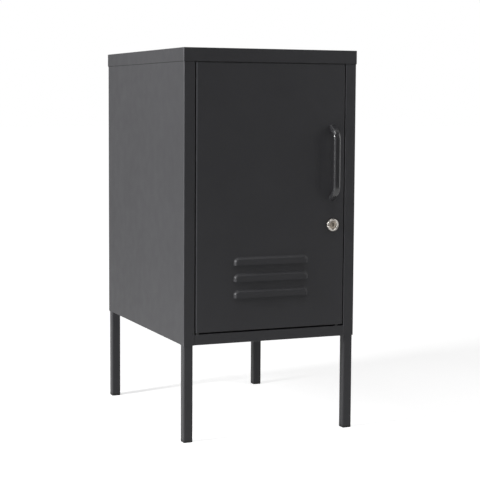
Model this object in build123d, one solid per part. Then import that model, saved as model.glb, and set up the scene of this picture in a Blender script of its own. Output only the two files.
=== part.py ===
from build123d import *
import os

# One-door metal locker cabinet on four square legs. Lengths are in millimetres.
# X runs to the right, Y from the door to the back and Z up. The origin is on the
# floor, at the middle of the box that holds the whole cabinet and its handle.

# Overall sizes
total_height = 725.0
cap_width = 350.0
cap_depth = 460.0
cap_height = 24.5
carcass_clear = 181.0  # floor to the underside of the carcass

# Sheet metal
sheet = 0.8
inner_bend = 0.4
cap_fit = 0.2  # between the cap's skirt and the carcass
fold_tab = 6.0  # strip of a wall that is shaped together with its flange
fold_gap = 0.5  # between the ends of neighbouring flanges
cut_over = 1.0  # overrun of every cutting tool

# Front frame
stile_width = 21.5
rail_height = 19.5
return_depth = 18.0
stop_lip = 8.0
rail_foot = 12.0

# Other flanges of the carcass
rear_flange = 18.0
side_top_flange = 20.0
side_bottom_flange = 15.0
back_flange = 20.0
back_flange_inset = 24.0  # the back's flanges stop this far inside the carcass
back_fit = 0.1
floor_flange = 12.0

# Door
door_side_gap = 2.0
door_top_gap = 1.2
door_bottom_gap = 3.0
door_depth = 16.0
door_lip = 10.0

# Louvres pressed in the door
louvre_count = 3
louvre_pitch = 30.5
louvre_length = 150.5
louvre_height = 14.8
louvre_corner = 9.0
louvre_proud = 4.8
louvre_slope = 3.8  # run of the sloped edge, from the door to the raised face
louvre_crown = 2.6  # rounding of the raised face
louvre_foot = 1.2  # run of the shallow flare round the hood
louvre_foot_rise = 0.6
louvre_lift = 61.2  # door's lower edge to the lowest lip

# Pull handle
handle_reach = 23.0  # from the door to the outer face
handle_width = 13.6
handle_thickness = 7.5
handle_round = 3.2
handle_pitch = 128.0  # between the middles of its two feet
handle_bend = 18.0
handle_inset = 24.7  # from the door's free edge
handle_drop = 183.6  # door's upper edge to the handle's middle

# Cam lock
lock_inset = 23.3  # from the door's free edge
lock_below_handle = 120.5  # between their middles
bezel_radius = 12.2
bezel_proud = 4.6
bezel_wall = 2.8  # straight part of its side
bezel_rim = 3.4
bezel_shoulder = 1.4  # run of the slope between its side and its rim
bezel_round = 1.4
dish_round = 0.5
dish_depth = 1.6
dish_slope = 0.9
barrel_radius = 9.0
plug_radius = 7.4
plug_sink = 0.2
keyway_width = 1.6
keyway_height = 8.0
keyway_depth = 6.0
cam_thickness = 2.0
cam_radius = 8.0
cam_reach = 25.0
cam_clear = 0.6  # between the cam and the stop lip that it locks behind
tail_size = 7.0
cam_screw_head = 5.6
cam_screw_head_height = 2.4
cam_screw_radius = 1.95
cam_screw_length = 9.0
cam_screw_spare = 1.0  # tapped depth beyond the screw's end
lock_nut_flats = 24.0
lock_nut_height = 4.0

# Running and passing clearances
running_fit = 0.05
loose_fit = 0.3

# Hinge pivots
pivot_inset = 4.0  # from the door's hinge edge and from its front face
pin_radius = 2.0
pin_head_radius = 2.9
pin_head_height = 1.5
pin_end_gap = 1.0  # from the pin's end to the end of its bearing
block_width = 13.0
block_height = 9.0
block_chamfer = 0.6
washer_radius = 3.5
washer_play = 0.1

# Legs and feet
leg_size = 18.0
leg_corner = 2.5
leg_wall = 1.2
leg_fit = 0.3
leg_plate = 50.0
leg_plate_thickness = 3.0
foot_height = 5.5
foot_round = 1.0
foot_plug = 14.0
foot_plug_fit = 0.1

# Screws that hold the legs
bolt_radius = 3.0
bolt_head_radius = 6.0
bolt_head_height = 3.4
bolt_head_round = 1.2
bolt_spare = 1.5  # thread that stands out of the nut
nut_flats = 10.0
nut_height = 5.0
bolt_beside_tube = 20.0  # from the tube's face to a bolt
bolt_far = 38.0
bolt_far_back = 34.0

# Shelf
shelf_level = 455.0
shelf_edge = 18.0
shelf_return = 8.0
shelf_setback = 10.0  # behind the stop lips
shelf_rear_gap = 12.0
shelf_side_gap = 0.5
support_width = 18.0
support_height = 14.0
support_end_gap = 1.0

# Rivets at the back
rivet_rows = 4
rivet_radius = 2.0
rivet_head_radius = 4.0
rivet_head_height = 0.8
rivet_head_round = 0.7
rivet_tail_radius = 3.0
rivet_tail_height = 1.5
rivet_end_gap = 60.0  # first and last rivet from the ends of the back

# Cable hole and wall fixings
cable_radius = 17.0
cable_wall = 3.0
cable_rim = 3.0
cable_rim_thickness = 1.4
cable_inset = 68.0  # from the carcass side to the middle of the hole
cable_lift = 60.0  # above the floor pan
anchor_spacing = 250.0
anchor_radius = 3.2
anchor_drop = 40.0  # below the cap's lower edge

# Small parts of the door
buffer_radius = 3.5
buffer_play = 0.2
buffer_end_gap = 60.0
pad_width = 5.4
pad_depth = 11.0
pad_play = 0.3
pad_chamfer = 0.3
pad_inset = 14.0  # from the stile to the middle of the pad
pad_setback = 0.5
screw_radius = 2.0
screw_head_radius = 4.0
screw_head_height = 2.4
screw_head_round = 0.8
screw_bite = 5.5

# Places that follow from the sizes above
outer_bend = inner_bend + sheet
cap_step = sheet + cap_fit
handle_stand = handle_reach - cap_step
cap_front = (handle_stand - cap_depth) / 2
cap_rear = cap_front + cap_depth
cap_edge = total_height - cap_height
body_front = cap_front + cap_step
body_rear = cap_rear - cap_step
body_side = cap_width / 2 - cap_step
body_top = total_height - sheet
wall_top = body_top - inner_bend - running_fit
wall_inside = body_side - sheet
stile_edge = body_side - stile_width
stop_y = body_front + return_depth
stop_rear = stop_y + sheet
lip_edge = stile_edge - stop_lip
back_outside = body_rear - sheet
back_inside = back_outside - sheet
rail_top = carcass_clear + rail_height
floor_under = rail_top - sheet
door_half = stile_edge - door_side_gap
door_bottom = rail_top + door_bottom_gap
door_top = cap_edge - door_top_gap
door_rear = body_front + door_depth
skin_inside = body_front + sheet
pivot_x = pivot_inset - door_half
pivot_y = body_front + pivot_inset
cam_front = stop_rear + cam_clear
cam_rear = cam_front + cam_thickness
handle_x = door_half - handle_inset
handle_z = door_top - handle_drop
handle_feet = [handle_z - handle_pitch / 2, handle_z + handle_pitch / 2]
lock_x = door_half - lock_inset
lock_z = handle_z - lock_below_handle
leg_x = wall_inside - leg_fit
leg_front = skin_inside + leg_fit
leg_rear = back_inside - leg_fit
plate_under = floor_under - leg_plate_thickness
shelf_front = stop_rear + shelf_setback
shelf_rear = back_inside - shelf_rear_gap
shelf_under = shelf_level - sheet
cable_x = body_side - cable_inset
cable_z = rail_top + cable_lift
anchor_z = cap_edge - anchor_drop
rivet_x = body_side - rear_flange / 2


def block(low, high):
    """A box between two corners."""
    size = [b - a for a, b in zip(low, high)]
    return Pos(*low) * Box(*size, align=(Align.MIN, Align.MIN, Align.MIN))


def rod(radius, start, axis, length):
    """A cylinder from a point, along an axis."""
    return extrude(Plane(origin=start, z_dir=axis) * Circle(radius), length)


def folded_face(points, thickness=sheet):
    """Outline of a folded sheet: the points follow one face, and the sheet lies on their left."""
    corners = [Vector(*point) for point in points]
    ways = [(b - a).normalized() for a, b in zip(corners, corners[1:])]
    lefts = [Vector(-way.Y, way.X) for way in ways]
    far = [corners[0] + lefts[0] * thickness]
    near_radii, far_radii = [], []
    for place, before, after in zip(corners[1:-1], lefts, lefts[1:]):
        far.append(place + (before + after) * (thickness / (1 + before.dot(after))))
        turns_left = before.cross(after).Z > 0
        near_radii.append(inner_bend + thickness if turns_left else inner_bend)
        far_radii.append(inner_bend if turns_left else inner_bend + thickness)
    far.append(corners[-1] + lefts[-1] * thickness)
    edges = [
        FilletPolyline(*corners, radius=near_radii),
        FilletPolyline(*far, radius=far_radii),
        Line(corners[0], far[0]),
        Line(corners[-1], far[-1]),
    ]
    return make_face(edges)


def along_x(face, start, end):
    """Extrude a face drawn in Y and Z."""
    return extrude(Plane.YZ.offset(start) * face, end - start)


def along_y(face, start, end):
    """Extrude a face drawn in X and Z."""
    return extrude(Plane.XZ.offset(-end) * face, end - start)


def along_z(face, start, end):
    """Extrude a face drawn in X and Y."""
    return extrude(Plane.XY.offset(start) * face, end - start)


def turned(points, radii, x, z):
    """Revolve a closed outline of radius and Y about the line through x and z along Y."""
    outline = make_face(FilletPolyline(*points, radius=radii, close=True))
    place = Plane(origin=(x, 0, z), x_dir=(1, 0, 0), z_dir=(0, 0, 1))
    return revolve(place * outline, Axis((x, 0, z), (0, 1, 0)))


def hexagon(flats, start, axis, length):
    """A hexagonal prism, measured across its flats."""
    face = RegularPolygon(flats / 2, 6, major_radius=False)
    return extrude(Plane(origin=start, z_dir=axis) * face, length)


def left_of(part):
    """The same part, mirrored to the other side."""
    return mirror(part, about=Plane.YZ)


def make_side_panel():
    """Right-hand side: stile, return and stop lip in front, side wall, and flanges."""
    section = folded_face(
        [
            (lip_edge, stop_y),
            (stile_edge, stop_y),
            (stile_edge, body_front),
            (body_side, body_front),
            (body_side, body_rear),
            (body_side - rear_flange, body_rear),
        ]
    )
    panel = along_z(section, carcass_clear, wall_top)
    flanges = [
        (
            [
                (body_side - side_bottom_flange, carcass_clear),
                (body_side, carcass_clear),
                (body_side, carcass_clear + fold_tab),
            ],
            leg_front + leg_size + fold_gap,
            leg_rear - leg_size - fold_gap,
        ),
        (
            [
                (body_side, body_top - fold_tab),
                (body_side, body_top),
                (body_side - side_top_flange, body_top),
            ],
            stop_rear + fold_gap,
            back_inside - fold_gap,
        ),
    ]
    for path, start, end in flanges:
        low = min(z for x, z in path)
        high = max(z for x, z in path)
        panel -= block((wall_inside, start, low), (body_side, end, high))
        panel += along_y(folded_face(path), start, end)
    return panel


def fitted_rail(section, low, high, hole_z):
    """A rail between the stiles, relieved beside their stop lips, with the pivot's hole."""
    rail = along_x(section, -stile_edge, stile_edge)
    relief = inner_bend + running_fit
    for side in (-1, 1):
        inner, outer = sorted((side * (stile_edge - relief), side * (stile_edge + cut_over)))
        rail -= block((inner, stop_y - sheet - relief, low), (outer, stop_rear, high))
    hole_start = (pivot_x, pivot_y, hole_z - cut_over)
    return rail - rod(pin_radius + running_fit, hole_start, (0, 0, 1), sheet + 2 * cut_over)


def make_top_rail():
    """Header between the stiles, hidden by the cap, with the upper stop lip."""
    section = folded_face(
        [
            (stop_y, body_top),
            (body_front, body_top),
            (body_front, cap_edge),
            (stop_y - sheet, cap_edge),
            (stop_y - sheet, cap_edge - stop_lip),
        ]
    )
    return fitted_rail(section, cap_edge - stop_lip, body_top, cap_edge)


def make_bottom_rail():
    """Rail between the stiles below the door, with the lower stop lip."""
    section = folded_face(
        [
            (stop_y - sheet, rail_top + stop_lip),
            (stop_y - sheet, rail_top),
            (body_front, rail_top),
            (body_front, carcass_clear),
            (body_front + rail_foot, carcass_clear),
        ]
    )
    return fitted_rail(section, carcass_clear, rail_top + stop_lip, floor_under)


def rivet_places():
    """X and Z of each rivet through the back and the side flanges."""
    low = carcass_clear + rivet_end_gap
    step = (cap_edge - rivet_end_gap - low) / (rivet_rows - 1)
    return [(side * rivet_x, low + row * step) for side in (-1, 1) for row in range(rivet_rows)]


def make_back_panel():
    """Back sheet with flanges at top and bottom, and its holes."""
    half = wall_inside - inner_bend - back_fit
    flange_half = body_side - back_flange_inset
    panel = block((-half, back_inside, carcass_clear), (half, back_outside, body_top))
    flange_front = back_outside - back_flange
    flanges = [
        [
            (flange_front, carcass_clear),
            (back_outside, carcass_clear),
            (back_outside, carcass_clear + fold_tab),
        ],
        [
            (back_outside, body_top - fold_tab),
            (back_outside, body_top),
            (flange_front, body_top),
        ],
    ]
    for path in flanges:
        low = min(z for y, z in path)
        high = max(z for y, z in path)
        panel -= block((-flange_half, back_inside, low), (flange_half, back_outside, high))
        panel += along_x(folded_face(path), -flange_half, flange_half)
    holes = [(x, z, rivet_radius + running_fit) for x, z in rivet_places()]
    holes += [(side * anchor_spacing / 2, anchor_z, anchor_radius) for side in (-1, 1)]
    holes.append((cable_x, cable_z, cable_radius + cable_wall + running_fit))
    for x, z, radius in holes:
        panel -= rod(radius, (x, back_inside - cut_over, z), (0, 1, 0), sheet + 2 * cut_over)
    return panel


def with_flange_holes(panel):
    """Rivet holes through the side panel's rear flange."""
    for x, z in rivet_places():
        if x > 0:
            hole_start = (x, back_outside - cut_over, z)
            panel -= rod(rivet_radius + running_fit, hole_start, (0, 1, 0), sheet + 2 * cut_over)
    return panel


def bolt_places():
    """X and Y of each leg bolt, two for each leg."""
    near = (leg_x - leg_size / 2, leg_size + bolt_beside_tube)
    far = (leg_x - bolt_far, bolt_far_back)
    places = []
    for x, inward in (near, far):
        for side in (-1, 1):
            places.append((side * x, leg_front + inward))
            places.append((side * x, leg_rear - inward))
    return places


def make_floor_pan():
    """Floor with side and rear edges folded down, cut back round the legs and stop lips."""
    low = rail_top - floor_flange
    section = folded_face(
        [
            (wall_inside, low),
            (wall_inside, rail_top),
            (-wall_inside, rail_top),
            (-wall_inside, low),
        ]
    )
    pan = along_y(section, stop_y, back_inside)
    rear_half = leg_x - leg_plate - fold_gap
    path = [
        (back_inside, low),
        (back_inside, rail_top),
        (back_inside - fold_tab, rail_top),
    ]
    tab = (back_inside - fold_tab, floor_under)
    pan -= block((-rear_half, *tab), (rear_half, back_inside, rail_top))
    pan += along_x(folded_face(path), -rear_half, rear_half)
    plate_end = leg_front + leg_plate + fold_gap
    plate_start = leg_rear - leg_plate - fold_gap
    corner = wall_inside - outer_bend
    for side in (-1, 1):
        inner, outer = sorted((side * corner, side * (wall_inside + cut_over)))
        for start, end in ((stop_y - cut_over, plate_end), (plate_start, back_inside + cut_over)):
            pan -= block((inner, start, low - cut_over), (outer, end, floor_under))
        inner, outer = sorted((side * (lip_edge - running_fit), side * (wall_inside + cut_over)))
        pan -= block((inner, stop_y - cut_over, low), (outer, stop_rear, rail_top + cut_over))
    for x, y in bolt_places():
        hole_start = (x, y, floor_under - cut_over)
        pan -= rod(bolt_radius + loose_fit, hole_start, (0, 0, 1), sheet + 2 * cut_over)
    return pan


def make_top_cap():
    """Lid with a skirt all round, outside the carcass."""
    half = cap_width / 2
    shell = block((-half, cap_front, cap_edge), (half, cap_rear, total_height))
    edges = shell.edges().filter_by(Axis.Z) + shell.faces().sort_by(Axis.Z)[-1].edges()
    shell = fillet(edges, outer_bend)
    inside = half - sheet
    low = cap_edge - cut_over
    hollow = block((-inside, cap_front + sheet, low), (inside, cap_rear - sheet, body_top))
    edges = hollow.edges().filter_by(Axis.Z) + hollow.faces().sort_by(Axis.Z)[-1].edges()
    return shell - fillet(edges, inner_bend)


def rounded_block(low, high, radius):
    """A box with all its edges rounded."""
    box = block(low, high)
    return fillet(box.edges(), radius)


def louvre_hood(inset, front, back):
    """A raised hood, cut off level at its lip. The inset makes the hollow inside it."""
    length = louvre_length - 2 * inset
    height = 2 * (louvre_height - inset)
    corner = louvre_corner - inset
    slope = louvre_slope
    base = RectangleRounded(length, height, corner)
    crest = RectangleRounded(length - 2 * slope, height - 2 * slope, corner - slope)
    plane = Plane(origin=(0, back, 0), x_dir=(1, 0, 0), z_dir=(0, -1, 0))
    hood = loft([plane * base, plane.offset(back - front) * crest])
    hood = fillet(hood.faces().sort_by(Axis.Y)[0].edges(), louvre_crown - inset)
    return split(hood, bisect_by=Plane.XY, keep=Keep.TOP)


def louvre_flare():
    """Shallow flare round a hood, where the sheet is drawn out of the door."""
    narrower = louvre_slope * louvre_foot_rise / louvre_proud
    outlines = []
    for offset in (louvre_foot, -narrower):
        length = louvre_length + 2 * offset
        height = 2 * (louvre_height + offset)
        outlines.append(RectangleRounded(length, height, louvre_corner + offset))
    plane = Plane(origin=(0, body_front, 0), x_dir=(1, 0, 0), z_dir=(0, -1, 0))
    flare = loft([plane * outlines[0], plane.offset(louvre_foot_rise) * outlines[1]])
    return split(flare, bisect_by=Plane.XY, keep=Keep.TOP)


def make_door_pan():
    """Door: a pan with folded returns, three pressed louvres, and holes for what it carries."""
    low = (-door_half, body_front, door_bottom)
    high = (door_half, door_rear, door_top)
    pan = rounded_block(low, high, outer_bend)
    inner_low = [value + sheet for value in low]
    inner_high = [value - sheet for value in high]
    pan -= rounded_block(inner_low, inner_high, inner_bend)
    edge = sheet + door_lip
    pan -= block(
        (-door_half + edge, door_rear - sheet - cut_over, door_bottom + edge),
        (door_half - edge, door_rear + cut_over, door_top - edge),
    )
    outer = louvre_hood(0, body_front - louvre_proud, body_front) + louvre_flare()
    hollow = louvre_hood(sheet, body_front - louvre_proud + sheet, body_front)
    throat = RectangleRounded(
        louvre_length - 2 * sheet, 2 * (louvre_height - sheet), louvre_corner - sheet
    )
    throat = along_y(throat, body_front, skin_inside + cut_over)
    hollow += split(throat, bisect_by=Plane.XY, keep=Keep.TOP)
    for count in range(louvre_count):
        place = Pos(0, 0, door_bottom + louvre_lift + count * louvre_pitch)
        pan += place * outer
        pan -= place * hollow
    for z in handle_feet:
        start = (handle_x, body_front - cut_over, z)
        pan -= rod(screw_radius + loose_fit, start, (0, 1, 0), sheet + 2 * cut_over)
    start = (lock_x, body_front - cut_over, lock_z)
    pan -= rod(barrel_radius + running_fit, start, (0, 1, 0), sheet + 2 * cut_over)
    for z in (door_bottom, door_top - sheet):
        start = (pivot_x, pivot_y, z - cut_over)
        pan -= rod(pin_radius + loose_fit, start, (0, 0, 1), sheet + 2 * cut_over)
    return pan


def make_handle():
    """Bow handle: a flat bar with rounded edges, bent towards the door at both ends."""
    depth = body_front - handle_reach + handle_thickness / 2
    low, high = handle_feet
    path = FilletPolyline(
        (handle_x, body_front, low),
        (handle_x, depth, low),
        (handle_x, depth, high),
        (handle_x, body_front, high),
        radius=handle_bend,
    )
    plane = Plane(origin=(handle_x, body_front, low), x_dir=(1, 0, 0), z_dir=(0, -1, 0))
    section = RectangleRounded(handle_width, handle_thickness, handle_round)
    handle = sweep(plane * section, path=path)
    for z in handle_feet:
        start = (handle_x, body_front + cut_over, z)
        handle -= rod(screw_radius + running_fit, start, (0, -1, 0), screw_bite + 2 * cut_over)
    return handle


def make_screw(place, way, radius, length, head_radius, head_height, round_edge):
    """A screw with a rounded pan head. The place is under the head, the way along the shank."""
    head = rod(head_radius, place, [-part for part in way], head_height)
    outer_face = head.faces().filter_by(GeomType.PLANE)
    top = max(outer_face, key=lambda face: (face.center() - Vector(*place)).length)
    head = fillet(top.edges(), round_edge)
    return head + rod(radius, place, way, length)


def make_handle_screws():
    """Two screws from inside the door into the handle's feet."""
    screws = []
    for z in handle_feet:
        screw = make_screw(
            (handle_x, skin_inside, z),
            (0, -1, 0),
            screw_radius,
            sheet + screw_bite,
            screw_head_radius,
            screw_head_height,
            screw_head_round,
        )
        screws.append(screw)
    return screws


def make_lock_housing():
    """Lock body: bezel with a dished face, and the barrel that passes through the door."""
    bore = plug_radius + running_fit
    rim = bezel_radius - bezel_rim
    floor = body_front - bezel_proud + dish_depth
    points = [
        (bore, cam_front - running_fit),
        (barrel_radius, cam_front - running_fit),
        (barrel_radius, body_front),
        (bezel_radius, body_front),
        (bezel_radius, body_front - bezel_wall),
        (bezel_radius - bezel_shoulder, body_front - bezel_proud),
        (rim, body_front - bezel_proud),
        (rim - dish_slope, floor),
        (bore, floor),
    ]
    radii = [0, 0, 0, 0, bezel_round, bezel_round, dish_round, 0, 0]
    return turned(points, radii, lock_x, lock_z)


def make_lock_nut():
    """Hexagonal nut that clamps the lock body to the door's skin."""
    start = (lock_x, skin_inside, lock_z)
    nut = hexagon(lock_nut_flats, start, (0, 1, 0), lock_nut_height)
    return nut - rod(barrel_radius + running_fit, start, (0, 1, 0), lock_nut_height)


def make_lock_plug():
    """Turning plug with its keyway and the square tail that drives the cam."""
    front = body_front - bezel_proud + dish_depth + plug_sink
    plug = rod(plug_radius, (lock_x, front, lock_z), (0, 1, 0), cam_front - front)
    half = tail_size / 2
    tail_end = cam_rear - plug_sink
    plug += block(
        (lock_x - half, cam_front, lock_z - half),
        (lock_x + half, tail_end, lock_z + half),
    )
    plug -= block(
        (lock_x - keyway_width / 2, front - cut_over, lock_z - keyway_height / 2),
        (lock_x + keyway_width / 2, front + keyway_depth, lock_z + keyway_height / 2),
    )
    bore = cam_screw_length + cam_screw_spare
    return plug - rod(cam_screw_radius + running_fit, (lock_x, cam_rear, lock_z), (0, -1, 0), bore)


def make_lock_cam():
    """Flat cam that hangs down when unlocked and turns behind the stop lip."""
    run = cam_reach - cam_radius
    outline = Rot(0, 0, 90) * SlotCenterToCenter(run, 2 * cam_radius)
    square = Rectangle(tail_size + 2 * running_fit, tail_size + 2 * running_fit)
    face = Pos(lock_x, lock_z - run / 2) * outline - Pos(lock_x, lock_z) * square
    return along_y(face, cam_front, cam_rear)


def make_cam_screw():
    """Screw that holds the cam on the plug's tail."""
    place = (lock_x, cam_rear, lock_z)
    return make_screw(
        place,
        (0, -1, 0),
        cam_screw_radius,
        cam_screw_length,
        cam_screw_head,
        cam_screw_head_height,
        screw_head_round,
    )


def make_hinge_pin(flange_face, way, gap):
    """Pivot pin with its head behind a rail's flange, reaching across a gap into the door's block."""
    place = (pivot_x, pivot_y, flange_face)
    length = sheet + gap + sheet + block_height - pin_end_gap
    pin = rod(pin_radius, place, (0, 0, way), length)
    return pin + rod(pin_head_radius, place, (0, 0, -way), pin_head_height)


def make_hinge_block(low):
    """Nylon bearing in a hinge corner of the pan, held between its skin and its return."""
    block_x = sheet - door_half
    box = block(
        (block_x, skin_inside, low),
        (block_x + block_width, door_rear - sheet, low + block_height),
    )
    box = chamfer(box.edges(), block_chamfer)
    return box - rod(pin_radius + running_fit, (pivot_x, pivot_y, low), (0, 0, 1), block_height)


def make_hinge_washer():
    """Washer on the bottom rail that carries the door."""
    start = (pivot_x, pivot_y, rail_top)
    height = door_bottom_gap - washer_play
    ring = rod(washer_radius, start, (0, 0, 1), height)
    return ring - rod(pin_radius + running_fit, start, (0, 0, 1), height)


def make_leg():
    """Front right leg: a square tube with the notched plate welded on top."""
    centre = (leg_x - leg_size / 2, leg_front + leg_size / 2)
    bore = leg_size - 2 * leg_wall
    section = RectangleRounded(leg_size, leg_size, leg_corner)
    section -= RectangleRounded(bore, bore, leg_corner - leg_wall)
    tube = along_z(Pos(*centre) * section, foot_height, plate_under)
    notch_x = stile_edge + sheet + leg_fit
    notch_y = stop_rear + leg_fit
    far_x = leg_x - leg_plate
    far_y = leg_front + leg_plate
    outline = FilletPolyline(
        (leg_x, leg_front),
        (leg_x, far_y),
        (far_x, far_y),
        (far_x, notch_y),
        (notch_x, notch_y),
        (notch_x, leg_front),
        radius=[0, leg_corner, leg_corner, leg_corner, 0, 0],
        close=True,
    )
    leg = tube + along_z(make_face(outline), plate_under, floor_under)
    for x, y in bolt_places():
        if x > 0 and y < 0:
            leg -= rod(
                bolt_radius + loose_fit,
                (x, y, plate_under - cut_over),
                (0, 0, 1),
                leg_plate_thickness + 2 * cut_over,
            )
    return leg


def make_foot():
    """Front right foot: a rubber pad under the tube, with a plug inside it."""
    centre = Pos(leg_x - leg_size / 2, leg_front + leg_size / 2)
    pad = along_z(centre * RectangleRounded(leg_size, leg_size, leg_corner), 0, foot_height)
    pad = fillet(pad.faces().sort_by(Axis.Z)[0].edges(), foot_round)
    bore = leg_size - 2 * (leg_wall + foot_plug_fit)
    plug = RectangleRounded(bore, bore, leg_corner - leg_wall - foot_plug_fit)
    return pad + along_z(centre * plug, foot_height, foot_height + foot_plug)


def four_corners(part):
    """A part of the front right corner, repeated at all four corners of the carcass."""
    middle = (leg_front + leg_rear) / 2
    rear = mirror(part, about=Plane.XZ.offset(-middle))
    return {
        "front_right": part,
        "front_left": left_of(part),
        "rear_right": rear,
        "rear_left": left_of(rear),
    }


def make_leg_bolts():
    """Screws from inside the cabinet, through floor and leg plates."""
    bolts = []
    for x, y in bolt_places():
        bolt = make_screw(
            (x, y, rail_top),
            (0, 0, -1),
            bolt_radius,
            sheet + leg_plate_thickness + nut_height + bolt_spare,
            bolt_head_radius,
            bolt_head_height,
            bolt_head_round,
        )
        bolts.append(bolt)
    return bolts


def make_leg_nuts():
    """Nuts under the leg plates."""
    nuts = []
    for x, y in bolt_places():
        start = (x, y, plate_under)
        nut = hexagon(nut_flats, start, (0, 0, -1), nut_height)
        nuts.append(nut - rod(bolt_radius + running_fit, start, (0, 0, -1), nut_height))
    return nuts


def make_shelf():
    """Shelf with its front edge folded down and back, and its rear edge folded down."""
    low = shelf_level - shelf_edge
    section = folded_face(
        [
            (shelf_rear, low),
            (shelf_rear, shelf_level),
            (shelf_front, shelf_level),
            (shelf_front, low),
            (shelf_front + shelf_return, low),
        ]
    )
    half = wall_inside - shelf_side_gap
    return along_x(section, -half, half)


def make_shelf_support():
    """Right-hand angle on the side wall, under the shelf and between its folded edges."""
    section = folded_face(
        [
            (wall_inside, shelf_under - support_height),
            (wall_inside, shelf_under),
            (wall_inside - support_width, shelf_under),
        ]
    )
    start = shelf_front + shelf_return + support_end_gap
    return along_y(section, start, shelf_rear - sheet - support_end_gap)


def make_back_rivets():
    """Rivets through the back and the side flanges."""
    rivets = []
    for x, z in rivet_places():
        tail = rod(rivet_tail_radius, (x, back_inside, z), (0, -1, 0), rivet_tail_height)
        shank = rod(rivet_radius, (x, back_inside, z), (0, 1, 0), 2 * sheet)
        head = rod(rivet_head_radius, (x, body_rear, z), (0, 1, 0), rivet_head_height)
        outer_face = head.faces().sort_by(Axis.Y)[-1]
        rivets.append(tail + shank + fillet(outer_face.edges(), rivet_head_round))
    return rivets


def make_cable_grommet():
    """Plastic ring that lines the cable hole."""
    wall = cable_radius + cable_wall
    rim = wall + cable_rim
    front = back_inside - cable_rim_thickness
    rear = back_outside + cable_rim_thickness
    points = [
        (cable_radius, front),
        (rim, front),
        (rim, back_inside),
        (wall, back_inside),
        (wall, back_outside),
        (rim, back_outside),
        (rim, rear),
        (cable_radius, rear),
    ]
    radii = [0, cable_rim_thickness / 2, 0, 0, 0, 0, cable_rim_thickness / 2, 0]
    return turned(points, radii, cable_x, cable_z)


def make_door_buffers():
    """Rubber discs on the stop lip of the lock side, just behind the closed door."""
    x = lip_edge + buffer_radius
    length = stop_y - door_rear - buffer_play
    return [
        rod(buffer_radius, (x, stop_y, z), (0, -1, 0), length)
        for z in (door_bottom + buffer_end_gap, door_top - buffer_end_gap)
    ]


def make_rest_pad():
    """Pad on the bottom rail that takes the free corner of the door."""
    x = stile_edge - pad_inset
    front = body_front + outer_bend + pad_setback
    pad = block(
        (x - pad_width / 2, front, rail_top),
        (x + pad_width / 2, front + pad_depth, rail_top + door_bottom_gap - pad_play),
    )
    return chamfer(pad.faces().sort_by(Axis.Z)[-1].edges(), pad_chamfer)


def all_parts():
    """Every named part with its solids."""
    side_panel = with_flange_holes(make_side_panel())
    support = make_shelf_support()
    parts = {
        "side_panel_right": side_panel,
        "side_panel_left": left_of(side_panel),
        "front_top_rail": make_top_rail(),
        "front_bottom_rail": make_bottom_rail(),
        "back_panel": make_back_panel(),
        "floor_pan": make_floor_pan(),
        "top_cap": make_top_cap(),
        "back_rivets": make_back_rivets(),
        "cable_grommet": make_cable_grommet(),
        "shelf": make_shelf(),
        "shelf_support_right": support,
        "shelf_support_left": left_of(support),
        "leg_bolts": make_leg_bolts(),
        "leg_nuts": make_leg_nuts(),
        "hinge_pin_upper": make_hinge_pin(cap_edge + sheet, -1, door_top_gap),
        "hinge_pin_lower": make_hinge_pin(floor_under, 1, door_bottom_gap),
        "hinge_washer": make_hinge_washer(),
        "door_buffers": make_door_buffers(),
        "door_rest_pad": make_rest_pad(),
        "door_pan": make_door_pan(),
        "hinge_block_upper": make_hinge_block(door_top - sheet - block_height),
        "hinge_block_lower": make_hinge_block(door_bottom + sheet),
        "door_handle": make_handle(),
        "handle_screws": make_handle_screws(),
        "lock_housing": make_lock_housing(),
        "lock_nut": make_lock_nut(),
        "lock_plug": make_lock_plug(),
        "lock_cam": make_lock_cam(),
        "cam_screw": make_cam_screw(),
    }
    for corner, leg in four_corners(make_leg()).items():
        parts["leg_" + corner] = leg
    for corner, foot in four_corners(make_foot()).items():
        parts["foot_" + corner] = foot
    return parts


os.makedirs("parts", exist_ok=True)
for name, part in all_parts().items():
    solids = part if isinstance(part, list) else [part]
    export_step(Compound(children=solids) if len(solids) > 1 else solids[0], f"parts/{name}.step")
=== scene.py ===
import math

import bmesh
import bpy
from mathutils import Matrix, Vector


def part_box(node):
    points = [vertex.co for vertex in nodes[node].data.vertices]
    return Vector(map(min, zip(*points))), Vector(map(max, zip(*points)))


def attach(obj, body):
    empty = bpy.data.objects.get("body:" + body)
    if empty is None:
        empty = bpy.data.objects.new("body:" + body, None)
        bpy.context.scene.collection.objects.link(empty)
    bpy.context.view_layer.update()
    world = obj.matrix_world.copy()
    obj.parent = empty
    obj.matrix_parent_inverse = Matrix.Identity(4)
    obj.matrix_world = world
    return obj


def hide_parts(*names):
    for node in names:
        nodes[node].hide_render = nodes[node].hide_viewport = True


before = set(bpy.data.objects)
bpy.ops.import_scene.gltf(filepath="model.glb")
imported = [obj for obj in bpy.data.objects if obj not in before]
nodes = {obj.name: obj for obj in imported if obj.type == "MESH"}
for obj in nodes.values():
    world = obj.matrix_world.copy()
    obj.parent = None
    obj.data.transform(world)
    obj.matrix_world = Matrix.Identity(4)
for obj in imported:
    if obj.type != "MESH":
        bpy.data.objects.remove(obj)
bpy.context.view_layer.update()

# Named lengths are in millimetres where their comment doesn't say metres, and mm turns them into metres.
# A name that ends in share or shares holds shares of another size.
mm = 0.001
door_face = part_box("side_panel_right")[0].y  # metres; the door's front lies in line with the stiles
white = (1, 1, 1, 1)


# Camera and lamps

# Where the photographer stood, from the frame's origin, and how the camera was turned, in degrees
camera_place = Vector((-1031.7, -2529.0, 626.1))
camera_yaw = -22.734
camera_down = 4.804
camera_roll = 0.316
camera_lens = 102.13  # focal length
sensor_width = 36
frame_shift_share = -0.048  # how far up the view is shifted, of its width
view_reach = 100  # metres

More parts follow.
